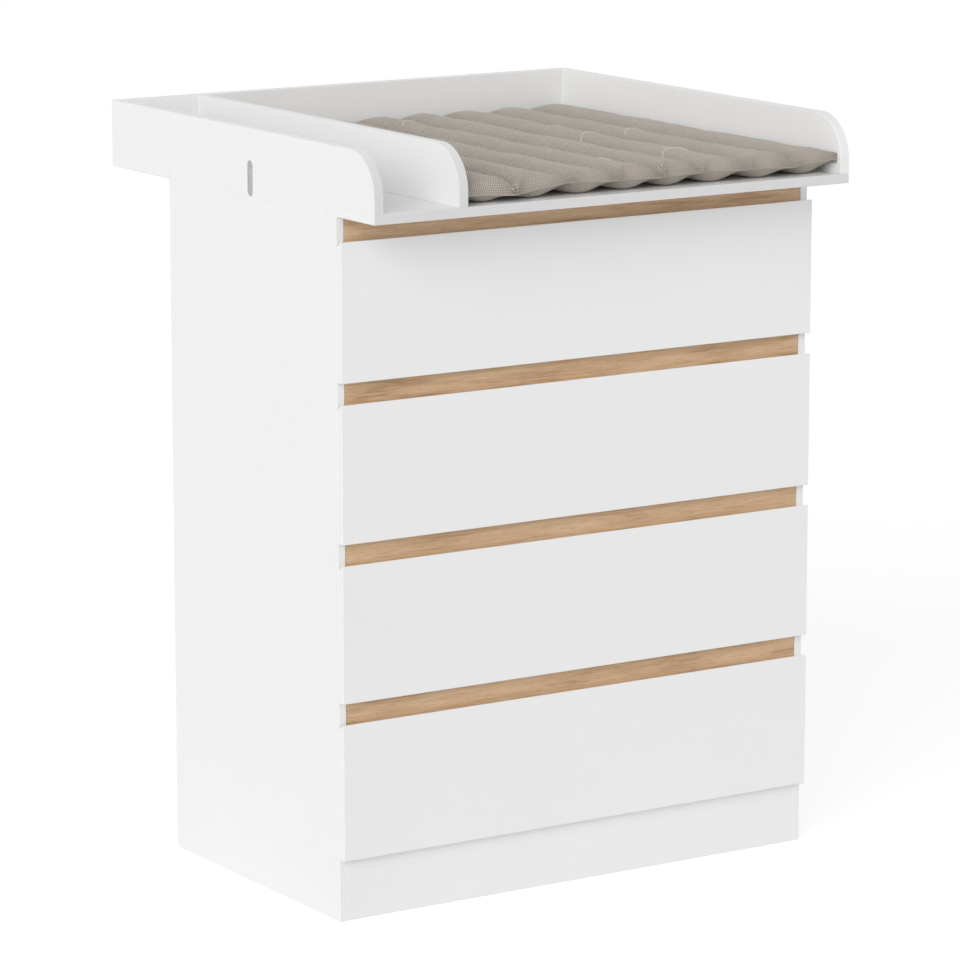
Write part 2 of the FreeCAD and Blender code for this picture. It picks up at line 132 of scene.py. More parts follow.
def ramp(tree, factor, stops):
    """Turns a number into a colour; stops are (position, grey or colour)."""
    node = add_node(tree, "ValToRGB", {"Fac": factor})
    band = node.color_ramp
    while len(band.elements) < len(stops):
        band.elements.new(0.5)
    for element, (position, colour) in zip(band.elements, stops):
        parts = colour if isinstance(colour, tuple) else (colour, colour, colour)
        element.position = position
        element.color = (*parts, 1.0)
    return node.outputs["Color"]


def bump(tree, shader, height, depth):
    """Raises the surface by up to depth, in metres, where height is 1."""
    node = add_node(tree, "Bump", {"Height": height, "Distance": depth, "Strength": 1.0})
    tree.links.new(node.outputs["Normal"], shader.inputs["Normal"])
    return node


print("helpers for nodes:", new_material.__name__, add_node.__name__, noise.__name__, ramp.__name__)

# %% [markdown]
# ## White foil on board
# The panels are particle board under a satin white foil. Foil isn't mirror-flat: it shows
# the chips under it as a very shallow orange peel, and its gloss changes a little from
# place to place. Both are far smaller than a millimetre, so they are made in the shader,
# while the broken edges that catch the light are real chamfers of the frame.

# %% White foil
FOIL_WHITE = (0.875, 0.875, 0.872)
FOIL_GLOSS = (0.36, 0.46)
DRAWER_WHITE = (0.865, 0.865, 0.862)
DRAWER_GLOSS = (0.42, 0.52)
CLOUD_TONE = 0.985
PEEL_DEPTH = 0.00002


def foil_material(name, white, gloss):
    made, tree, shader = new_material(name, Specular_IOR_Level=0.45)
    place = in_metres(tree)
    clouded = tuple(CLOUD_TONE * part for part in white)
    tone = ramp(tree, noise(tree, place, 3.0, 3.0), [(0.3, clouded), (0.7, white)])
    tree.links.new(tone, shader.inputs["Base Color"])
    roughness = ramp(tree, noise(tree, place, 14.0, 4.0), [(0.3, gloss[0]), (0.7, gloss[1])])
    tree.links.new(roughness, shader.inputs["Roughness"])
    bump(tree, shader, noise(tree, place, 420.0, 3.0, 0.6), PEEL_DEPTH)
    return made


white_foil = foil_material("white_foil", FOIL_WHITE, FOIL_GLOSS)
drawer_foil = foil_material("drawer_foil", DRAWER_WHITE, DRAWER_GLOSS)
print("foils", white_foil.name, drawer_foil.name)

# %% [markdown]
# ## Edge bands of the tray
# The cut front edges of the tray's boards carry a separate band, a shade greyer than the
# foil of the faces. It runs out round the curved corners, so the direction that the
# surface has on the piece itself blends the two whites.

# %% Banded foil
BAND_GREY = 0.82
BAND_TURNS = (0.25, 0.98)


def banded_material():
    made = foil_material("banded_foil", FOIL_WHITE, FOIL_GLOSS)
    tree = made.node_tree
    shader = tree.nodes["Principled BSDF"]
    face_tone = shader.inputs["Base Color"].links[0].from_socket
    facing = add_node(tree, "TexCoord", {}).outputs["Normal"]
    way = add_node(tree, "SeparateXYZ", {"Vector": facing}).outputs["Y"]
    straight = add_node(tree, "Math", {0: way}, operation="ABSOLUTE").outputs[0]
    turns = {"Value": straight, "From Min": BAND_TURNS[0], "From Max": BAND_TURNS[1]}
    on_band = add_node(tree, "MapRange", turns, interpolation_type="SMOOTHSTEP")
    band_white = (*[BAND_GREY * part for part in FOIL_WHITE], 1.0)
    band = add_node(tree, "Mix", {"Factor": on_band.outputs[0], "A": face_tone, "B": band_white},
                    data_type="RGBA")
    tree.links.new(band.outputs["Result"], shader.inputs["Base Color"])
    return made


banded_foil = banded_material()
BANDED_NODES = ("tray_base", "tray_wall_left", "tray_divider")
print("banded", BANDED_NODES)

# %% [markdown]
# ## Lacquered hardboard
# The back panel and the drawer bottoms are thin hardboard. Its lacquer is duller than
# foil and lets short wood fibres show, which a stretched noise imitates well. Several
# finishes need the same short recipe, so it gets a function: one fine grain gives gloss
# and relief, and the tone follows that grain or, where there is one, a broader cloud.

# %% Hardboard
FINE_RELIEF = 0.00005


def grained_material(name, tones, gloss, relief, grain, cloud=None, **values):
    """Grain and cloud are a stretch for each axis, then a noise's scale, detail and roughness."""
    made, tree, shader = new_material(name, **values)
    fine, broad = [noise(tree, in_metres(tree, stretch), *pattern)
                   for stretch, *pattern in (grain, cloud or grain)]
    tree.links.new(ramp(tree, broad, tones), shader.inputs["Base Color"])
    tree.links.new(ramp(tree, fine, gloss), shader.inputs["Roughness"])
    bump(tree, shader, fine, relief)
    return made


hardboard = grained_material(
    "lacquered_hardboard", [(0.35, (0.78, 0.775, 0.76)), (0.62, (0.84, 0.838, 0.828))],
    [(0.3, 0.62), (0.7, 0.5)], FINE_RELIEF,
    grain=((1.0, 0.35, 1.0), 900.0, 5.0, 0.7), Specular_IOR_Level=0.35)
print("hardboard", hardboard.name)

# %% [markdown]
# ## Oak veneer
# The rails between the drawer fronts are light oak with the grain along them. Oak has
# three scales of pattern: broad early and late wood, finer streaks, and short dark pores.
# Each is a noise stretched along X, mixed from coarse to fine. The rails lie at different
# heights, so the same pattern never shows twice.

# %% Oak veneer
OAK_LIGHT = (0.700, 0.495, 0.315)
OAK_MIDDLE = (0.610, 0.408, 0.245)
OAK_DARK = (0.450, 0.285, 0.160)
STREAK_SHARE = 0.42
PORE_DEPTH = 0.00006


def oak_material():
    made, tree, shader = new_material("oak_veneer", Specular_IOR_Level=0.3)
    broad = noise(tree, in_metres(tree, (1.2, 9.0, 14.0)), 6.0, 5.0, 0.55)
    streaks = noise(tree, in_metres(tree, (2.0, 60.0, 60.0)), 9.0, 4.0, 0.6)
    pores = noise(tree, in_metres(tree, (45.0, 900.0, 900.0)), 1.6, 2.0, 0.5)
    shares = {"Factor": STREAK_SHARE, "A": broad, "B": streaks}
    grain = add_node(tree, "Mix", shares, data_type="FLOAT")
    wood = ramp(tree, grain.outputs["Result"],
                [(0.36, OAK_DARK), (0.47, OAK_MIDDLE), (0.62, OAK_LIGHT)])
    marks = ramp(tree, pores, [(0.33, 0.80), (0.43, 1.0)])
    tinted = add_node(tree, "Mix", {"Factor": 1.0, "A": wood, "B": marks},
                      data_type="RGBA", blend_type="MULTIPLY")
    tree.links.new(tinted.outputs["Result"], shader.inputs["Base Color"])
    gloss = ramp(tree, streaks, [(0.3, 0.62), (0.7, 0.48)])
    tree.links.new(gloss, shader.inputs["Roughness"])
    bump(tree, shader, marks, PORE_DEPTH)
    return made


oak = oak_material()
print("oak", oak.name)

# %% [markdown]
# ## Beech
# The dowels that carry the rails are plain beech, paler and more even than oak, with
# short flecks along the grain. They are hidden in their holes, but the parts list has
# them, so they get a wood of their own.

# %% Beech
beech = grained_material(
    "plain_beech", [(0.35, (0.46, 0.29, 0.16)), (0.6, (0.60, 0.41, 0.25))],
    [(0.3, 0.66), (0.7, 0.52)], FINE_RELIEF,
    grain=((60.0, 700.0, 700.0), 2.0, 3.0, 0.6), Specular_IOR_Level=0.3)
print("beech", beech.name)

# %% [markdown]
# ## Zinc-plated steel
# Runners, screws and cam locks are plated steel. Rolled sheet keeps fine lines along the
# runner, and zinc has a cloudy tone, so the metal gets both instead of one even grey.

# %% Zinc steel
EVENLY = (1.0, 1.0, 1.0)

zinc = grained_material(
    "zinc_steel", [(0.3, (0.54, 0.55, 0.56)), (0.7, (0.70, 0.70, 0.70))],
    [(0.3, 0.28), (0.7, 0.44)], relief=0.00001,
    grain=((1.0, 0.02, 1.0), 1400.0, 2.0, 0.6), cloud=(EVENLY, 60.0, 4.0, 0.6), Metallic=1.0)
print("zinc", zinc.name)

# %% [markdown]
# ## Grey plate
# The oblong plate in each tray wall is satin grey. It gets a fine grain and a slightly
# cloudy tone, so that it reads as a cast part and not as a painted patch.

# %% Grey plate
grey_plate = grained_material(
    "grey_plate", [(0.3, (0.43, 0.43, 0.43)), (0.7, (0.51, 0.51, 0.51))],
    [(0.3, 0.38), (0.7, 0.52)], relief=0.00003,
    grain=(EVENLY, 2600.0, 2.0, 0.5), cloud=(EVENLY, 160.0, 3.0, 0.5), Specular_IOR_Level=0.5)
print("plate", grey_plate.name)

# %% [markdown]
# ## Giving each node its material
# Every node of the frame says which material slot it belongs to. One table from slot to
# finish dresses all of them, so no board is forgotten when the frame gains a new one.

# %% Dress the frame
FINISHES = {
    "white_panel": white_foil,
    "drawer_board": drawer_foil,
    "hardboard": hardboard,
    "oak_rail": oak,
    "beech_dowel": beech,
    "runner_steel": zinc,
    "zinc_steel": zinc,
    "grey_plate": grey_plate,
}


def dress_nodes():
    dressed = 0
    for part in frame["record"]["subparts"]:
        finish = FINISHES.get(part["material_slot"])
        if part["node"] in BANDED_NODES:
            finish = banded_foil
        if finish is not None:
            slots = NODES[part["node"]].data.materials
            slots.clear()
            slots.append(finish)
            dressed += 1
    return dressed


print("dressed", dress_nodes(), "of", len(NODES), "nodes")

# %% [markdown]
# ## The mat's sizes
# The mat is two sheets of waffle cotton, sewn together round the edge and along seven
# seams, and filled. Each channel ends like a small pillow: the filling shortens the
# cloth, so the hem is drawn in between the seams, and the stitched seam ends stand out.
# A remeshed block would lose those thin seams, so the two sheets are built as one grid.
# Heights are counted from the lowest point of the mat's solid.

# %% Mat sizes
CHANNELS = 8
CREST_HEIGHT = 0.0365
HEM_HEIGHT = 0.0160
SEAM_TOP_HEIGHTS = (0.016, 0.0105, 0.0100, 0.0110, 0.0100, 0.0105, 0.0100, 0.0110, 0.016)
SEAM_UNDER_HEIGHTS = (0.016, *[0.0085] * (CHANNELS - 1), 0.016)
# the seam ends at the front, as the photographed mat lies: sideways shift and height
SEAM_END_SHIFTS = (0.0, 0.001, 0.009, 0.009, 0.006, -0.008, -0.002, 0.002, 0.001)
SEAM_END_HEIGHTS = (0.014, 0.0095, 0.0205, 0.0175, 0.0165, 0.0185, 0.0170, 0.0145, 0.0215)

mat_low, mat_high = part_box("changing_mat")
MAT_FLOOR = mat_low.z
MAT_WIDTH = mat_high.x - mat_low.x
MAT_LENGTH = mat_high.y - mat_low.y
print("mat", round(MAT_WIDTH, 3), "by", round(MAT_LENGTH, 3), "m,", CHANNELS, "channels")

# %% [markdown]
# ## A grid that is finest where the cloth bends most
# Columns run along the channels and crowd beside the seams. Rows run across them and
# crowd at both hems. Every later step is then plain arithmetic on whole grids: how far a
# point lies from its seam, and how near it is to the front or the back.

# %% Rows and columns of the grid
COLUMNS_PER_CHANNEL = 18
ROWS_IN_END = 22
ROWS_BETWEEN = 80
ROW_CROWDING = 1.5
END_REGION = 0.070
FRONT_REACH = 0.045


def column_places():
    """Where the columns lie, counted in channels, close together beside the seams."""
    turn = math.pi * np.arange(COLUMNS_PER_CHANNEL) / COLUMNS_PER_CHANNEL
    inside = 0.5 - 0.5 * np.cos(turn)
    return np.append(np.add.outer(np.arange(CHANNELS), inside).ravel(), CHANNELS)


def row_distances():
    """How far the rows lie from the front hem, close together at both ends."""
    near = END_REGION * (np.arange(ROWS_IN_END) / ROWS_IN_END) ** ROW_CROWDING
    between = np.linspace(END_REGION, MAT_LENGTH - END_REGION, ROWS_BETWEEN + 1)
    return np.concatenate([near, between, MAT_LENGTH - near[::-1]])


across, from_front = np.meshgrid(column_places(), row_distances())
channel = np.minimum(across.astype(int), CHANNELS - 1)
inside = across - channel
from_seam = 1.0 - np.abs(2.0 * inside - 1.0)
near_front = np.exp(-from_front / FRONT_REACH)
near_back = np.exp(-(MAT_LENGTH - from_front) / FRONT_REACH)
print("grid", across.shape[1], "columns by", across.shape[0], "rows")

# %% [markdown]
# ## Values along the seams
# No two seams of a sewn mat are alike. A value that is known at each seam is read off
# between them, and a slow seeded wave lets seams and crests wander by a millimetre. At
# its ends a channel fills up within a few centimetres, and where that slope meets the
# round of the channel, the lower of the two wins, with a slightly rounded edge.

# %% Seam values and slopes
HIP_SHARPNESS = 7.0
LEAST_FULLNESS = 1e-4

chance = np.random.default_rng(11)


def between_seams(left_values, right_values):
    return left_values + (right_values - left_values) * inside


def at_seams(values):
    """A value known at each of the nine seams and edges, read at every grid point."""
    values = np.asarray(values)
    return between_seams(values[channel], values[channel + 1])


def slow_wave(size, length):
    """A gentle seeded unevenness along each seam or channel, one curve for each."""
    starts = chance.uniform(0.0, 2.0 * math.pi, (CHANNELS + 1, 2))
    waves = [np.sin(2.0 * math.pi * from_front / (length / (1 + turn))
                    + starts[channel + side, turn]) / (1 + turn)
             for side in (0, 1) for turn in (0, 1)]
    return size * between_seams(waves[0] + waves[1], waves[2] + waves[3])


def end_rise(slope_length, power):
    """How full a channel is near its ends: 0 at the hem, 1 beyond the slope."""
    nearest = np.minimum(from_front, MAT_LENGTH - from_front)
    return 1.0 - (1.0 - np.clip(nearest / slope_length, 0.0, 1.0)) ** power


def lower_of(one, other):
    """The lower of two fullnesses, with a slightly rounded edge where they meet."""
    one, other = np.maximum(one, LEAST_FULLNESS), np.maximum(other, LEAST_FULLNESS)
    return (one ** -HIP_SHARPNESS + other ** -HIP_SHARPNESS) ** (-1.0 / HIP_SHARPNESS)


print("seam heights from", round(float(at_seams(SEAM_TOP_HEIGHTS).min()) * 1000, 1), "mm")

# %% [markdown]
# ## Both sheets
# Seen from above, the long sides are drawn in a little and each channel pulls its hem
# in. The top sheet rises from the seams to the crests. The under sheet lies flat on the
# tray below the crests and lifts off it in a small tunnel below each seam.

# %% Both sheets
SEAM_WANDER = 0.0012
SEAM_WANDER_LENGTH = 0.29
CREST_WANDER = 0.0010
CREST_WANDER_LENGTH = 0.21
SIDE_DRAW_IN = 0.004
HEM_DRAW_IN = 0.006
HEM_SAG = 0.002
BELLY_FLATNESS = 0.58
BELLY_FULLER_IN_FRONT = 0.10
END_SLOPE_TOP = 0.022
END_SLOPE_UNDER = 0.028
TUNNEL_SLOPE = 0.050
SEAM_RISE, TOP_RISE, UNDER_RISE = 1.6, 2.3, 2.0
END_STEEPNESS = np.array([1.0, 0.9, 1.25, 1.0, 1.3, 0.85, 0.95, 0.75])


def sheet_plan(belly):
    """Where each grid point lies, seen from above; both sheets share it."""
    drawn = SIDE_DRAW_IN * np.sin(math.pi * from_front / MAT_LENGTH)
    edge_pull = drawn * (1.0 - 2.0 * across / CHANNELS)
    inner = np.sin(math.pi * across / CHANNELS) ** 0.5
    wander = slow_wave(SEAM_WANDER, SEAM_WANDER_LENGTH) * inner
    x = mat_low.x + MAT_WIDTH * across / CHANNELS + edge_pull + wander
    x = x + at_seams(SEAM_END_SHIFTS) * near_front
    y = mat_low.y + from_front + HEM_DRAW_IN * belly * (near_front - near_back)
    return x, y


def sheet_heights(belly):
    """How high the top sheet and the under sheet lie over the tray."""
    hem = HEM_HEIGHT + (at_seams(SEAM_END_HEIGHTS) - HEM_HEIGHT) * near_front
    hem = hem - HEM_SAG * belly * (near_front + near_back)
    crest = CREST_HEIGHT + slow_wave(CREST_WANDER, CREST_WANDER_LENGTH)
    seam_line = hem + end_rise(END_SLOPE_TOP, SEAM_RISE) * (at_seams(SEAM_TOP_HEIGHTS) - hem)
    fullness = lower_of(belly, end_rise(END_SLOPE_TOP / END_STEEPNESS[channel], TOP_RISE))
    top = seam_line + (crest - seam_line) * fullness
    tunnel = (1.0 - from_seam) ** 2.0
    under_rise = end_rise(END_SLOPE_UNDER + TUNNEL_SLOPE * tunnel, UNDER_RISE)
    under = hem + under_rise * (at_seams(SEAM_UNDER_HEIGHTS) * tunnel - hem)
    return top, under


belly_power = BELLY_FLATNESS - BELLY_FULLER_IN_FRONT * near_front
channel_belly = (1.0 - (1.0 - from_seam) ** 2.0) ** belly_power
mat_x, mat_y = sheet_plan(channel_belly)
mat_top, mat_under = sheet_heights(channel_belly)
print("crest", round(float(mat_top.max()) * 1000, 1), "mm over the tray")

# %% [markdown]
# ## From grid to mesh
# The two sheets share their outer vertices, which is the sewn hem, and together they
# close a volume that can be filled. UVs are lengths of cloth in metres, added up along
# the grid, so that the weave later follows the cloth over every bulge.

# %% Grid to faces
def mat_indices():
    """Vertex numbers of the top and the under sheet; both have the rim's in common."""
    top = np.arange(across.size).reshape(across.shape)
    under = top.copy()
    inner = top[1:-1, 1:-1]
    under[1:-1, 1:-1] = np.arange(inner.size).reshape(inner.shape) + top.size
    return top, under


def sheet_faces(numbers, upward):
    corners = [numbers[:-1, :-1], numbers[:-1, 1:], numbers[1:, 1:], numbers[1:, :-1]]
    quads = np.stack(corners, axis=-1).reshape(-1, 4)
    return quads if upward else quads[:, ::-1]


def cloth_lengths(places):
    """How much cloth lies between the first row or column and each later one."""
    middle_row = places[places.shape[0] // 2]
    crest_column = places[:, COLUMNS_PER_CHANNEL // 2]
    sizes = [np.linalg.norm(np.diff(line, axis=0), axis=1) for line in (middle_row, crest_column)]
    return [np.concatenate([[0.0], np.cumsum(size)]) for size in sizes]


top_numbers, under_numbers = mat_indices()
print("rim shared by both sheets:", int((top_numbers == under_numbers).sum()), "vertices")

# %% [markdown]
# ## The mat as one mesh
# Python writes the vertices and faces straight into a mesh. Three numbers go with each
# vertex, because later steps ask for them: its place across the channels, its distance
# from the front, and whether it is on the top sheet. The hem is marked sharp and creased,
# which keeps it a crisp edge, in shading and when the mesh is subdivided.

# %% Mat mesh
def crease_hem(mesh):
    sides = [top_numbers[0], top_numbers[-1], top_numbers[:, 0], top_numbers[:, -1]]
    rim = set(np.concatenate(sides).tolist())
    on_hem = [edge.vertices[0] in rim and edge.vertices[1] in rim for edge in mesh.edges]
    mesh.attributes.new("sharp_edge", "BOOLEAN", "EDGE").data.foreach_set("value", on_hem)
    creases = np.array(on_hem, dtype=float)
    mesh.attributes.new("crease_edge", "FLOAT", "EDGE").data.foreach_set("value", creases)


def mat_object():
    top_sheet, under_sheet = [np.stack([mat_x, mat_y, MAT_FLOOR + level], axis=-1)
                              for level in (mat_top, mat_under)]
    places = np.concatenate([top_sheet.reshape(-1, 3), under_sheet[1:-1, 1:-1].reshape(-1, 3)])
    faces = np.concatenate([sheet_faces(top_numbers, True), sheet_faces(under_numbers, False)])
    mesh = bpy.data.meshes.new("changing_mat_cover")
    mesh.from_pydata(places.tolist(), [], faces.tolist())
    cloth = np.stack(np.meshgrid(*cloth_lengths(top_sheet)), axis=-1)
    cloth = np.concatenate([cloth.reshape(-1, 2), cloth[1:-1, 1:-1].reshape(-1, 2)])
    on_top = np.zeros(len(places))
    on_top[:across.size] = 1.0
    for name, grid in (("across", across), ("from_front", from_front)):
        values = np.concatenate([grid.ravel(), grid[1:-1, 1:-1].ravel()])
        mesh.attributes.new(name, "FLOAT", "POINT").data.foreach_set("value", values)
    mesh.attributes.new("on_top", "FLOAT", "POINT").data.foreach_set("value", on_top)
    layer = mesh.uv_layers.new(name="cloth")
    corners = np.zeros(len(mesh.loops), dtype=np.int32)
    mesh.loops.foreach_get("vertex_index", corners)
    layer.data.foreach_set("uv", cloth[corners].ravel())
    crease_hem(mesh)
    made = bpy.data.objects.new("changing_mat_cover", mesh)
    bpy.context.scene.collection.objects.link(made)
    return made


mat = mat_object()
print("mat mesh", len(mat.data.vertices), "vertices,", len(mat.data.polygons), "faces")

# %% [markdown]
# ## Filling the mat
# Air pressure inside a closed cloth is a good stand-in for filling. The seams are pinned,
# gravity is off, the cloth is light, and it is a little larger than the form, so that
# within twenty frames it puffs up and its spare length crumples at seams and hems. How
# far a point may move is capped, so a stray fold can't leave the tray, and what would
# sink into the tray is laid flat on it.

# %% Fill with cloth simulation
FILL_PRESSURE = 4.0
FILL_FRAMES = 20
FILL_CAP = 0.006
CLOTH_GROWTH = 0.004
CLOTH = {"mass": 0.004, "shrink_min": -CLOTH_GROWTH, "use_pressure": True,
         "uniform_pressure_force": FILL_PRESSURE, "quality": 5, "tension_stiffness": 12.0,
         "compression_stiffness": 12.0, "shear_stiffness": 4.0, "bending_stiffness": 0.05,
         "air_damping": 1.5}


def pin_seams():
    """The seams and the two long edges stay put; the front and back hems are free."""
    held = set()
    for numbers in (top_numbers, under_numbers):
        held.update(numbers[:, ::COLUMNS_PER_CHANNEL].ravel().tolist())
    group = mat.vertex_groups.new(name="seams")
    group.add(sorted(held), 1.0, "REPLACE")
    return len(held)


def places_of(mesh):
    places = np.zeros(3 * len(mesh.vertices))
    mesh.vertices.foreach_get("co", places)
    return places.reshape(-1, 3)


def fill_mat():
    start = places_of(mat.data)
    cloth = mat.modifiers.new("filling", "CLOTH")
    for setting, value in CLOTH.items():
        setattr(cloth.settings, setting, value)
    cloth.settings.vertex_group_mass = "seams"
    cloth.settings.effector_weights.gravity = 0.0
    cloth.point_cache.frame_start = 1
    cloth.point_cache.frame_end = FILL_FRAMES
    for step in range(1, FILL_FRAMES + 1):
        bpy.context.scene.frame_set(step)
    graph = bpy.context.evaluated_depsgraph_get()
    filled = places_of(mat.evaluated_get(graph).data)
    mat.modifiers.remove(cloth)
    moved = filled - start
    length = np.linalg.norm(moved, axis=1, keepdims=True)
    print("moved", round(float(np.median(length)) * 1000, 2), "mm in the middle of the range,",
          round(float(length.max()) * 1000, 1), "at most")
    return start + moved * np.minimum(1.0, FILL_CAP / np.maximum(length, 1e-9))


def write_places(places):
    """Writes the vertices back; what would sink into the tray is laid flat on it."""
    places[:, 2] = np.maximum(places[:, 2], MAT_FLOOR)
    mat.data.vertices.foreach_set("co", places.ravel())
    mat.data.update()


print("held", pin_seams(), "vertices on the seams")
write_places(fill_mat())

# %% [markdown]
# ## One fold at a stitched end
# Where a seam ends, its stitches gather the cloth, and folds fan out from that point over
# both neighbours. Each fold is a ridge along a straight line in plan, narrow at the
# stitches and wider and lower further in. Its profile has a sharp top, as creased cloth
# has. The seam ends are read off the filled cloth, which is where the folds start.

# %% Fold form
FOLD_ROOT_WIDTH = 0.0035
FOLD_SPREAD = 0.10
FOLD_ONSET = 0.004

filled_sheet = places_of(mat.data)[top_numbers]
seam_ends = [filled_sheet[row, ::COLUMNS_PER_CHANNEL] for row in (0, -1)]


def fold(sheet, root, inward, start, degrees, height, length):
    """The height of one fold at every point; inward is 1 from the front, -1 from behind."""
    turn = math.radians(degrees)
    side_way = sheet[:, 0] - root[0] - start
    in_way = (sheet[:, 1] - root[1]) * inward
    along = side_way * math.sin(turn) + in_way * math.cos(turn)
    beside = side_way * math.cos(turn) - in_way * math.sin(turn)
    width = FOLD_ROOT_WIDTH + FOLD_SPREAD * np.clip(along, 0.0, None)
    fade = np.clip(1.0 - along / length, 0.0, 1.0) * np.clip(along / FOLD_ONSET, 0.0, 1.0)
    return height * fade * np.exp(-np.abs(beside) / width)


print("front seam ends", [round(float(end[0]), 3) for end in seam_ends[0]])

# %% [markdown]
# ## Creases across the seams
# Quilting thread is a little shorter than the cloth that it holds, so the cloth ripples
# along each seam. The ripples are strongest a few millimetres beside the stitches, fade
# on the way to the crest, and drift in length, so that no two sides look the same.

# %% Seam puckers
PUCKER_HEIGHT = 0.0011
PUCKER_LENGTH = 0.021
PUCKER_REACH = 0.013
PUCKER_ONSET = 0.004
DRIFT_SIZE = 1.6
DRIFT_LENGTH = 0.17


def seam_puckers(channels_across, ahead):
    seam = np.rint(channels_across).astype(int)
    from_stitch = np.abs(channels_across - seam) * MAT_WIDTH / CHANNELS
    side = (channels_across > seam).astype(int)
    starts = chance.uniform(0.0, 2.0 * math.pi, (CHANNELS + 1, 2, 2))[seam, side]
    drift = DRIFT_SIZE * np.sin(2.0 * math.pi * ahead / DRIFT_LENGTH + starts[:, 1])
    wave = np.sin(2.0 * math.pi * ahead / PUCKER_LENGTH + starts[:, 0] + drift)
    onset = np.clip(from_stitch / PUCKER_ONSET, 0.0, 1.0)
    return PUCKER_HEIGHT * wave * np.exp(-from_stitch / PUCKER_REACH) * onset


print("puckers every", round(PUCKER_LENGTH * 1000), "mm, up to", round(PUCKER_HEIGHT * 1000, 1), "mm")

# %% [markdown]
# ## All folds together
# The strongest folds are placed as the real mat shows them: at most seam ends one stands
# up to the right, and two more run off to either side. Smaller ones are drawn from seeded
# chance. All of them fade out a few millimetres before the sewn hem.

# %% Strong and small folds
# seam, start to the right of its end, degrees towards the right, height and length
STRONG_FOLDS = (
    (1, 0.000, 50, 0.0040, 0.070), (1, 0.000, 24, 0.0036, 0.080), (1, 0.000, -34, 0.0030, 0.070),
    (2, 0.009, 6, 0.0080, 0.036), (2, 0.000, 62, 0.0036, 0.050), (2, 0.000, -38, 0.0034, 0.060),
    (3, 0.008, 12, 0.0065, 0.032), (3, 0.002, 48, 0.0044, 0.050), (3, 0.000, -36, 0.0034, 0.060),
    (4, 0.009, 4, 0.0085, 0.038), (4, 0.004, 44, 0.0044, 0.050), (4, 0.000, -42, 0.0032, 0.060),
    (5, 0.012, 8, 0.0080, 0.040), (5, 0.000, 58, 0.0040, 0.050), (5, 0.000, -32, 0.0034, 0.060),
    (6, 0.012, 10, 0.0075, 0.036), (6, 0.000, 60, 0.0036, 0.050), (6, 0.000, -36, 0.0032, 0.060),
    (7, 0.010, 14, 0.0065, 0.036), (7, 0.000, 56, 0.0034, 0.050), (7, 0.000, -40, 0.0034, 0.060),
    (8, 0.000, -52, 0.0042, 0.080), (8, 0.000, -26, 0.0034, 0.070))
SMALL_FOLDS_PER_SEAM = 4
# degrees, height and length of a small fold, at the least and at the most
SMALL_FOLD_LEAST = (-70.0, 0.0006, 0.03)
SMALL_FOLD_MOST = (70.0, 0.0020, 0.09)
HEM_CLEAR = 0.003


def all_folds(sheet, channels_across, ahead):
    raised = seam_puckers(channels_across, ahead)
    for seam, start, degrees, height, length in STRONG_FOLDS:
        raised += fold(sheet, seam_ends[0][seam], 1.0, start, degrees, height, length)
    for seam in np.repeat(np.arange(CHANNELS + 1), SMALL_FOLDS_PER_SEAM):
        for roots, inward in zip(seam_ends, (1.0, -1.0)):
            degrees, height, length = chance.uniform(SMALL_FOLD_LEAST, SMALL_FOLD_MOST)
            raised += fold(sheet, roots[seam], inward, 0.0, degrees, height, length)
    return raised * np.clip(np.minimum(ahead, MAT_LENGTH - ahead) / HEM_CLEAR, 0.0, 1.0)


print("folds", len(STRONG_FOLDS), "strong,", 2 * SMALL_FOLDS_PER_SEAM * (CHANNELS + 1), "small")

# %% [markdown]
# ## Raising the folds
# The filled cloth is subdivided once, for good, so that narrow folds have enough points.
# The folds are then raised out of the top sheet, along the way that it faces, after the
# filling and not before it, so they stay crisp.

# %% Raise the folds
def refine_mat():
    finer = mat.modifiers.new("finer", "SUBSURF")
    finer.levels = 1
    graph = bpy.context.evaluated_depsgraph_get()
    mesh = bpy.data.meshes.new_from_object(mat.evaluated_get(graph))
    mat.modifiers.remove(finer)
    mat.data = mesh


def point_values(name):
    """One number for each vertex of the mat, from the attribute of that name."""
    values = np.zeros(len(mat.data.vertices))
    mat.data.attributes[name].data.foreach_get("value", values)
    return values


def fold_mat():
    places = places_of(mat.data)
    facing = np.zeros(places.size)
    mat.data.vertex_normals.foreach_get("vector", facing)
    raised = all_folds(places, point_values("across"), point_values("from_front"))
    raised = raised * point_values("on_top")
    write_places(places + facing.reshape(-1, 3) * raised[:, None])
    return float(raised.max())


refine_mat()
print("folds up to", round(fold_mat() * 1000, 1), "mm")

# %% [markdown]
# ## A waffle weave
# The weave is a grid of small pits, staggered from row to row, so the ridges between them
# run diagonally. Two crossed waves of the UVs, which are metres of cloth, give ridges and
# pits. A noise fine enough for single yarns roughens both.

# %% Weave height
PIT_ACROSS = 0.0036
PIT_ALONG = 0.0068
YARN_SHARE = 0.25


def ridge_wave(tree, across_turns, along_turns, crossing):
    """A wave along one diagonal of the weave: 1 on its ridges, 0 between them."""
    turns = add_node(tree, "Math", {0: across_turns, 1: along_turns}, operation=crossing)
    swing = add_node(tree, "Math", {0: turns.outputs[0]}, operation="COSINE")
    halved = add_node(tree, "Math", {0: swing.outputs[0], 1: 0.5, 2: 0.5}, operation="MULTIPLY_ADD")
    return halved.outputs[0]


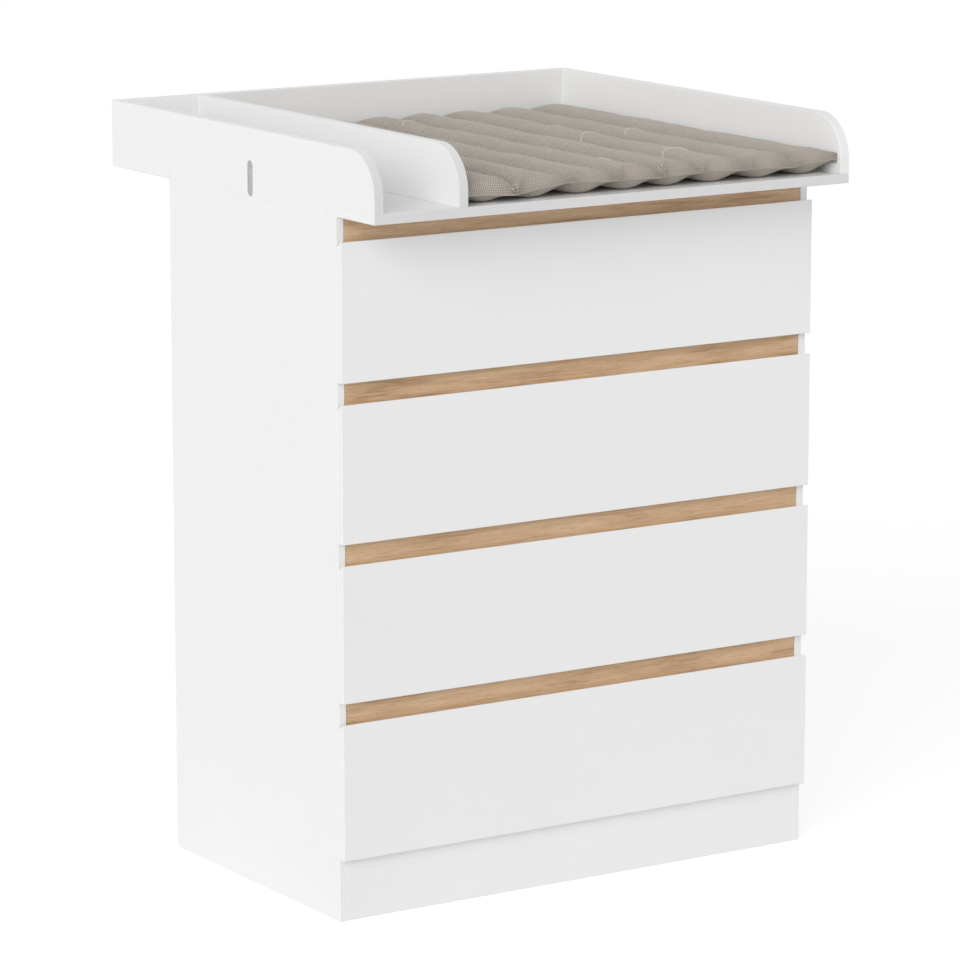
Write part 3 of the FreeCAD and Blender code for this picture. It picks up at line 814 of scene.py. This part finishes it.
def weave_height(tree, cloth, axes):
    turns = [add_node(tree, "Math", {0: axes.outputs[axis], 1: 2.0 * math.pi / size},
                      operation="MULTIPLY").outputs[0]
             for axis, size in (("X", PIT_ACROSS), ("Y", PIT_ALONG))]
    one, other = [ridge_wave(tree, *turns, crossing) for crossing in ("ADD", "SUBTRACT")]
    ridges = add_node(tree, "Math", {0: one, 1: other}, operation="MAXIMUM").outputs[0]
    yarn = noise(tree, cloth, 1800.0, 3.0, 0.65)
    height = add_node(tree, "Math", {0: yarn, 1: YARN_SHARE, 2: ridges}, operation="MULTIPLY_ADD")
    return height.outputs[0]


print("weave", PIT_ACROSS * 1000, "by", PIT_ALONG * 1000, "mm")

# %% [markdown]
# ## Painted shade towards the seams
# The colour of the cloth is painted darker towards each seam: a painted shade that stands
# for the shade in the valleys between the channels. The U of the cloth's UVs counts metres
# across the mat, so dividing it by the cloth in one channel counts channels, and a
# ping-pong gives the way to the stitches.

# %% Painted seam shade
# how dark the painted shade is at a seam, and how far towards the crest it reaches
PAINTED_SEAM_SHADE = 0.74
PAINTED_SHADE_REACH = 0.44


def cloth_width():
    """How much cloth lies across the whole mat, read from its UVs."""
    lengths = np.zeros(2 * len(mat.data.loops))
    mat.data.uv_layers["cloth"].data.foreach_get("uv", lengths)
    return float(lengths[::2].max())


CHANNEL_CLOTH = cloth_width() / CHANNELS


def painted_seam_shade(tree, cloth_across):
    """Full colour on the crest of a channel, with a painted shade towards the seams beside it."""
    counted = add_node(tree, "Math", {0: cloth_across, 1: CHANNEL_CLOTH}, operation="DIVIDE")
    halves = add_node(tree, "Math", {0: counted.outputs[0], 1: 0.5}, operation="PINGPONG")
    reach = {"Value": halves.outputs[0], "From Min": 0.0, "From Max": PAINTED_SHADE_REACH,
             "To Min": PAINTED_SEAM_SHADE, "To Max": 1.0}
    shade = add_node(tree, "MapRange", reach).outputs[0]
    return add_node(tree, "CombineColor", {"Red": shade, "Green": shade, "Blue": shade}).outputs[0]


print("cloth across a channel", round(CHANNEL_CLOTH * 1000, 1), "mm")

# %% [markdown]
# ## Waffle cotton
# The weave's height drives the bump and paints shade into the pits: the pits are the same
# yarn, and their darker colour is painted shade. A slow noise makes the dye uneven. Cotton
# is fuzzy, which lightens it where it turns away from the eye: the sheen.

# %% Waffle cotton
COTTON_RIDGE = (0.588, 0.521, 0.458)
# the pit colour is painted shade in the weave's hollows, not a different yarn
PIT_PAINTED_SHADE = (0.157, 0.137, 0.118)
WEAVE_DEPTH = 0.0012


def multiplied(tree, one, other):
    node = add_node(tree, "Mix", {"Factor": 1.0, "A": one, "B": other}, data_type="RGBA",
                    blend_type="MULTIPLY")
    return node.outputs["Result"]


def cotton_material():
    made, tree, shader = new_material("waffle_cotton", Roughness=0.92, Specular_IOR_Level=0.15,
                                      Sheen_Weight=0.6, Sheen_Roughness=0.4,
                                      Sheen_Tint=(1.0, 0.95, 0.89, 1.0))
    cloth = add_node(tree, "UVMap", {}, uv_map="cloth").outputs["UV"]
    axes = add_node(tree, "SeparateXYZ", {"Vector": cloth})
    height = weave_height(tree, cloth, axes)
    # ridge colour on the ridges, painted shade in the pits
    weave = ramp(tree, height, [(0.25, PIT_PAINTED_SHADE), (0.85, COTTON_RIDGE)])
    patches = noise(tree, cloth, 16.0, 3.0, 0.55)
    dye = ramp(tree, patches, [(0.3, (0.955, 0.965, 0.955)), (0.7, 1.0)])
    # the painted shade towards the seams is multiplied over the weave and its dye
    shaded = multiplied(tree, multiplied(tree, weave, dye), painted_seam_shade(tree, axes.outputs["X"]))
    tree.links.new(shaded, shader.inputs["Base Color"])
    bump(tree, shader, height, WEAVE_DEPTH)
    return made


mat.data.materials.append(cotton_material())
mat.data.shade_smooth()
print("cotton on", mat.name)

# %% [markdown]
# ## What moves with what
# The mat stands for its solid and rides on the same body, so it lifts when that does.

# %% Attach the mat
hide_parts("changing_mat")
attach(mat, "mat")

# %% [markdown]
# ## Thread as strands
# All sewing on the mat is made from one form: a thin closed tube along a path of points.
# A curve object with a bevel would do as well, but a tube of plain vertices can be joined
# with hundreds of others into one light piece that follows the mat when it is lifted.

# %% Strands and joined pieces
STRAND_SIDES = 6


def strand(path, radius):
    """A closed round strand along a path, as its vertices and faces."""
    path = np.asarray(path)
    along = np.gradient(path, axis=0)
    along = along / np.linalg.norm(along, axis=1, keepdims=True)
    side = np.cross(along, (0.0, 0.0, 1.0))
    side = side / np.linalg.norm(side, axis=1, keepdims=True)
    up = np.cross(side, along)
    turns = 2.0 * math.pi * np.arange(STRAND_SIDES) / STRAND_SIDES
    rings = path[:, None] + radius * (np.cos(turns)[None, :, None] * side[:, None]
                                      + np.sin(turns)[None, :, None] * up[:, None])
    numbers = np.arange(rings.shape[0] * STRAND_SIDES).reshape(-1, STRAND_SIDES)
    after = np.roll(numbers, -1, axis=1)
    quads = np.stack([numbers[:-1], numbers[1:], after[1:], after[:-1]], axis=-1).reshape(-1, 4)
    return rings.reshape(-1, 3), quads.tolist() + [numbers[0].tolist(), numbers[-1][::-1].tolist()]


def joined_piece(name, forms, finish, body):
    """One object made of several closed forms, dressed and riding on a body."""
    places, faces = [], []
    for form_places, form_faces in forms:
        first = sum(len(earlier) for earlier in places)
        places.append(np.asarray(form_places))
        faces += [[first + number for number in face] for face in form_faces]
    mesh = bpy.data.meshes.new(name)
    mesh.from_pydata(np.concatenate(places).tolist(), [], faces)
    mesh.materials.append(finish)
    made = bpy.data.objects.new(name, mesh)
    bpy.context.scene.collection.objects.link(made)
    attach(made, body)
    print(name, "has", len(faces), "faces")
    return made


# %% [markdown]
# ## Laying thread on the cloth
# Thread has to lie on the cloth as it is now, filled and folded. A search tree of the
# finished mat answers where a ray from straight above meets it, and a strand's points are
# set down there. Another helper finds the point at a given distance along a seam.

# %% Looking down at the cloth
ABOVE_MAT = 0.05

cloth_surface = BVHTree.FromObject(mat, bpy.context.evaluated_depsgraph_get())


def laid_on_mat(points, lift):
    """Points (x, y) set down on the cloth from straight above, raised by lift."""
    laid = []
    for x, y in points:
        start = Vector((x, y, mat_high.z + ABOVE_MAT))
        hit = cloth_surface.ray_cast(start, Vector((0.0, 0.0, -1.0)))[0]
        if hit is not None:
            laid.append((x, y, hit.z + lift))
    return laid


def along_line(line, distance):
    """The point at a distance along a polyline of (x, y) points."""
    lengths = np.concatenate([[0.0], np.cumsum(np.linalg.norm(np.diff(line, axis=0), axis=1))])
    return [np.interp(distance, lengths, line[:, axis]) for axis in (0, 1)]


mat_middle = [((mat_low + mat_high) / 2)[:2]]
print("cloth in the middle of the mat at", round(laid_on_mat(mat_middle, 0.0)[0][2], 4), "m")

# %% [markdown]
# ## Stitches and the sewn edge
# Each seam is a row of short stitches, a little darker than the cloth, in the bottom of
# its valley. Two bars lie across it at either hem, where the cloth is gathered. One
# thicker strand round the rim stands for the overlocked edge.

# %% Stitches and edge
THREAD_RADIUS = 0.00045
THREAD_LIFT = 0.4 * THREAD_RADIUS
STITCH_PITCH = 0.0050
STITCH_LENGTH = 0.0032
FIRST_STITCH = 0.010
LAST_STITCH = 0.012
BAR_HALF = 0.0024
BAR_PLACES = (0.0022, 0.0034)
EDGE_RADIUS = 0.0009
TWIST_RELIEF = 0.00015


def seam_stitches():
    """The stitches and end bars of the seams between the channels."""
    forms = []
    for seam in range(1, CHANNELS):
        line = filled_sheet[:, seam * COLUMNS_PER_CHANNEL, :2]
        for start in np.arange(FIRST_STITCH, MAT_LENGTH - LAST_STITCH, STITCH_PITCH):
            points = [along_line(line, start + part * STITCH_LENGTH) for part in (0.0, 0.5, 1.0)]
            forms.append(strand(laid_on_mat(points, THREAD_LIFT), THREAD_RADIUS))
        for inset in BAR_PLACES:
            for x, y in (along_line(line, inset), along_line(line[::-1], inset)):
                points = [(x + part * BAR_HALF, y) for part in (-1.0, -0.5, 0.0, 0.5, 1.0)]
                forms.append(strand(laid_on_mat(points, THREAD_LIFT), THREAD_RADIUS))
    return forms


def sewn_edge():
    sheet = filled_sheet
    rim = np.concatenate([sheet[0, :-1], sheet[:-1, -1], sheet[-1, :0:-1], sheet[:0:-1, 0]])
    return strand(rim, EDGE_RADIUS)


edge_cotton = grained_material(
    "edge_cotton", [(0.3, (0.30, 0.265, 0.232)), (0.7, (0.46, 0.41, 0.365))],
    [(0.3, 0.95), (0.7, 0.8)], TWIST_RELIEF,
    grain=(EVENLY, 700.0, 3.0, 0.6), Specular_IOR_Level=0.15, Sheen_Weight=0.5)
joined_piece("mat_stitches", seam_stitches(), edge_cotton, "mat")
joined_piece("mat_edge", [sewn_edge()], edge_cotton, "mat")

# %% [markdown]
# ## Crease highlights
# A few creases over the channels catch the light as pale arcs, as the real mat shows them.
# They are painted highlights, made as pale strands laid on the cloth. Each strand bends
# through three points: its start, its middle and its end.

# %% Crease highlights
HIGHLIGHT_STRAND_RADIUS = 0.00085
HIGHLIGHT_STRAND_LIFT = 0.5 * HIGHLIGHT_STRAND_RADIUS
HIGHLIGHT_STRAND_STEPS = 15
# start, middle and end of each, across and along the dresser
CREASE_HIGHLIGHT_ARCS = (((0.157, -0.041), (0.183, -0.018), (0.205, -0.030)),
                  ((0.186, 0.070), (0.198, 0.066), (0.208, 0.044)),
                  ((0.240, -0.036), (0.262, -0.012), (0.284, -0.022)),
                  ((0.152, -0.262), (0.172, -0.236), (0.202, -0.248)),
                  ((0.010, 0.218), (0.033, 0.240), (0.058, 0.232)),
                  ((0.034, -0.270), (0.044, -0.277), (0.056, -0.292)))


def crease_highlight_strand(start, middle, end):
    parts = np.linspace(0.0, 1.0, HIGHLIGHT_STRAND_STEPS)[:, None]
    start, middle, end = (np.array(point) for point in (start, middle, end))
    line = (start * (1 - parts) * (1 - 2 * parts) + middle * 4 * parts * (1 - parts)
            + end * parts * (2 * parts - 1))
    return strand(laid_on_mat(line, HIGHLIGHT_STRAND_LIFT), HIGHLIGHT_STRAND_RADIUS)


# a pale finish, lighter than the cloth, for the painted crease highlights
crease_highlight_finish = grained_material(
    "crease_highlight_finish", [(0.3, (0.62, 0.58, 0.52)), (0.7, (0.80, 0.77, 0.71))],
    [(0.3, 0.8), (0.7, 0.6)], relief=0.0001,
    grain=(EVENLY, 900.0, 3.0, 0.6), Specular_IOR_Level=0.2, Sheen_Weight=0.3)
joined_piece("mat_crease_highlights", [crease_highlight_strand(*line) for line in CREASE_HIGHLIGHT_ARCS],
             crease_highlight_finish, "mat")

# %% [markdown]
# ## The head of a fastener
# The runners are screwed on, and the drawer boxes are held by cams at the front and by
# screws at the back. A head is a turned form with a cross recess: rings of points round an
# axis that lies across the dresser, where the recess's rings are pinched in four places.

# %% Cross heads
HEAD_STEPS = 32
RECESS_PINCH = 0.55
# rings from the rim to the bottom of the recess: share of radius and height, and the pinch
HEAD_RINGS = ((1.0, 0.0, 0.0), (1.0, 0.5, 0.0), (0.84, 0.9, 0.0), (0.60, 1.0, 0.0),
              (0.46, 1.0, RECESS_PINCH), (0.34, 0.35, RECESS_PINCH))


def cross_head(x, y, z, way, size):
    """A round head on a face that looks along X, the way given by 1 or -1."""
    radius, height = size
    turns = 2.0 * math.pi * np.arange(HEAD_STEPS) / HEAD_STEPS
    places = []
    for share, level, pinch in HEAD_RINGS:
        reach = radius * share * (1.0 - pinch * (0.5 - 0.5 * np.cos(4.0 * turns)))
        places.append(np.stack([np.full(HEAD_STEPS, x + way * height * level),
                                y + reach * np.cos(turns), z + reach * np.sin(turns)], axis=-1))
    places.append(np.array([[x + way * height * HEAD_RINGS[-1][1], y, z]]))
    numbers = np.arange(len(HEAD_RINGS) * HEAD_STEPS).reshape(-1, HEAD_STEPS)
    after = np.roll(numbers, -1, axis=1)
    corners = [numbers[:-1], after[:-1], after[1:], numbers[1:]]
    faces = np.stack(corners, axis=-1).reshape(-1, 4).tolist()
    inmost = zip(numbers[-1].tolist(), after[-1].tolist())
    faces += [[left, right, numbers.size] for left, right in inmost]
    faces.append(numbers[0][::-1].tolist())
    if way < 0:
        faces = [face[::-1] for face in faces]
    return np.concatenate(places), faces


print("a head has", len(HEAD_RINGS) * HEAD_STEPS + 1, "vertices")

# %% [markdown]
# ## Fasteners in their places
# Every head takes its place from the boards and members that it holds, so it follows when
# the frame changes. Heads on a drawer ride with it. The fixed members' screws are nearly
# flush, because the middle members slide past them.

# %% Fasteners
RUNNER_SHEET = 0.001
# radius and height of each kind of head
PAN_HEAD = (0.0038, 0.0017)
FLUSH_HEAD = (0.0036, 0.0002)
CAM_HEAD = (0.0075, 0.0006)
RUNNER_SCREW_PLACES = (0.040, 0.136, 0.264, 0.360)
CAM_FROM_FRONT = 0.034
CAM_HEIGHTS = (0.045, 0.115)
BACK_SCREW_HEIGHTS = (0.025, 0.125)
DRAWERS = sum(name.startswith("drawer_") and name.endswith("_front") for name in NODES)


def screws_in_runner(node, face_x, size, way):
    """Screws along both members of a runner, on faces at -face_x and face_x."""
    low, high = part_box(node)
    middle = (low.z + high.z) / 2
    return [cross_head(side * face_x, low.y + place, middle, side * way, size)
            for place in RUNNER_SCREW_PLACES for side in (-1, 1)]


def drawer_fasteners(number):
    """The screws of the drawer's own runner members, its cams and its back screws."""
    low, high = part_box(f"drawer_{number}_side_left")
    back_low, back_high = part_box(f"drawer_{number}_back")
    member, member_face = f"runner_{number}_drawer", -low.x + RUNNER_SHEET
    cam_y, back_y = low.y + CAM_FROM_FRONT, (back_low.y + back_high.y) / 2
    return {"runner_screws": screws_in_runner(member, member_face, PAN_HEAD, 1),
            "cams": [cross_head(side * -high.x, cam_y, low.z + height, -side, CAM_HEAD)
                     for height in CAM_HEIGHTS for side in (-1, 1)],
            "back_screws": [cross_head(side * -low.x, back_y, low.z + height, side, PAN_HEAD)
                            for height in BACK_SCREW_HEIGHTS for side in (-1, 1)]}


def cabinet_screws():
    """Flush screws that hold the fixed members to the side panels."""
    fixed_face = -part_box("side_panel_left")[1].x - RUNNER_SHEET
    return [head for number in range(1, DRAWERS + 1)
            for head in screws_in_runner(f"runner_{number}_cabinet", fixed_face, FLUSH_HEAD, -1)]


for number in range(1, DRAWERS + 1):
    drawer = f"drawer_{number}"
    for kind, heads in drawer_fasteners(number).items():
        joined_piece(f"{drawer}_{kind}", heads, zinc, drawer)
joined_piece("cabinet_runner_screws", cabinet_screws(), zinc, "chest")

# %% [markdown]
# ## The floor
# The picture is a cut-out on white. The floor is a plain pale surface that looks white to
# the camera and in reflections, by a glow that only they see, and still takes the
# object's shadow. Light Path tells the rays that look from the rays that light.

# %% Floor
FLOOR_HALF = 60.0
FLOOR_GREY = 0.80
FLOOR_SHOW = 0.42
FLOOR_GLOW = 0.70
WHITE = (1.0, 1.0, 1.0, 1.0)


def seen_directly(tree):
    """1 for rays from the eye, mirrored or passed through; 0 for rays that light things."""
    path = add_node(tree, "LightPath", {}).outputs
    seen = path["Is Camera Ray"]
    for also in ("Is Glossy Ray", "Is Transmission Ray"):
        seen = add_node(tree, "Math", {0: seen, 1: path[also]}, operation="MAXIMUM").outputs[0]
    return seen


def floor_material():
    made = bpy.data.materials.new("studio_floor")
    made.use_nodes = True
    tree = made.node_tree
    tree.nodes.clear()
    pale, catcher = [add_node(tree, "BsdfDiffuse", {"Color": (grey, grey, grey, 1.0)})
                     for grey in (FLOOR_GREY, FLOOR_SHOW)]
    glow = add_node(tree, "Emission", {"Color": WHITE, "Strength": FLOOR_GLOW})
    shown = add_node(tree, "AddShader", {0: catcher.outputs[0], 1: glow.outputs[0]})
    sides = {"Fac": seen_directly(tree), 1: pale.outputs[0], 2: shown.outputs[0]}
    mixed = add_node(tree, "MixShader", sides)
    add_node(tree, "OutputMaterial", {"Surface": mixed.outputs[0]})
    return made


def make_floor():
    corners = [(x * FLOOR_HALF, y * FLOOR_HALF, 0.0)
               for x, y in ((-1, -1), (1, -1), (1, 1), (-1, 1))]
    mesh = bpy.data.meshes.new("studio_floor")
    mesh.from_pydata(corners, [], [(0, 1, 2, 3)])
    mesh.materials.append(floor_material())
    floor = bpy.data.objects.new("studio_floor", mesh)
    bpy.context.scene.collection.objects.link(floor)
    return floor


print("floor", round(make_floor().dimensions.x), "m wide")

# %% [markdown]
# ## World and sun
# The world is brighter at the horizon than overhead, as in a room with pale walls, so
# boards that lie flat come out greyer than boards that stand, and the mat's valleys go
# dark. One broad low sun from the user's left makes the left side the brightest face.

# %% World and sun
HORIZON_LEVEL = 1.18
ZENITH_LEVEL = 0.28
SUN_LEVEL = 1.27
SUN_SPREAD = math.radians(36.0)
SUN_FROM = Vector((-0.73, -0.50, 0.43))


def make_world():
    world = bpy.data.worlds.new("studio_world")
    bpy.context.scene.world = world
    world.use_nodes = True
    tree = world.node_tree
    tree.nodes.clear()
    way = add_node(tree, "TexCoord", {}).outputs["Generated"]
    rise = add_node(tree, "SeparateXYZ", {"Vector": way}).outputs["Z"]
    height = add_node(tree, "Math", {0: rise, 1: 0.0}, operation="MAXIMUM").outputs[0]
    level = add_node(tree, "Math", {0: height, 1: ZENITH_LEVEL - HORIZON_LEVEL, 2: HORIZON_LEVEL},
                     operation="MULTIPLY_ADD").outputs[0]
    fill, white = [add_node(tree, "Background", {"Color": WHITE, "Strength": strength})
                   for strength in (level, 1.0)]
    sides = {"Fac": seen_directly(tree), 1: fill.outputs[0], 2: white.outputs[0]}
    mixed = add_node(tree, "MixShader", sides)
    add_node(tree, "OutputWorld", {"Surface": mixed.outputs[0]})


def make_sun():
    data = bpy.data.lights.new("studio_sun", "SUN")
    data.energy = SUN_LEVEL
    data.angle = SUN_SPREAD
    sun = bpy.data.objects.new("studio_sun", data)
    bpy.context.scene.collection.objects.link(sun)
    sun.rotation_mode = "QUATERNION"
    sun.rotation_quaternion = SUN_FROM.to_track_quat("Z", "Y")
    return sun


make_world()
make_sun()
bpy.context.scene.view_settings.view_transform = "Standard"
print("sun", SUN_LEVEL, "horizon", HORIZON_LEVEL, "zenith", ZENITH_LEVEL)
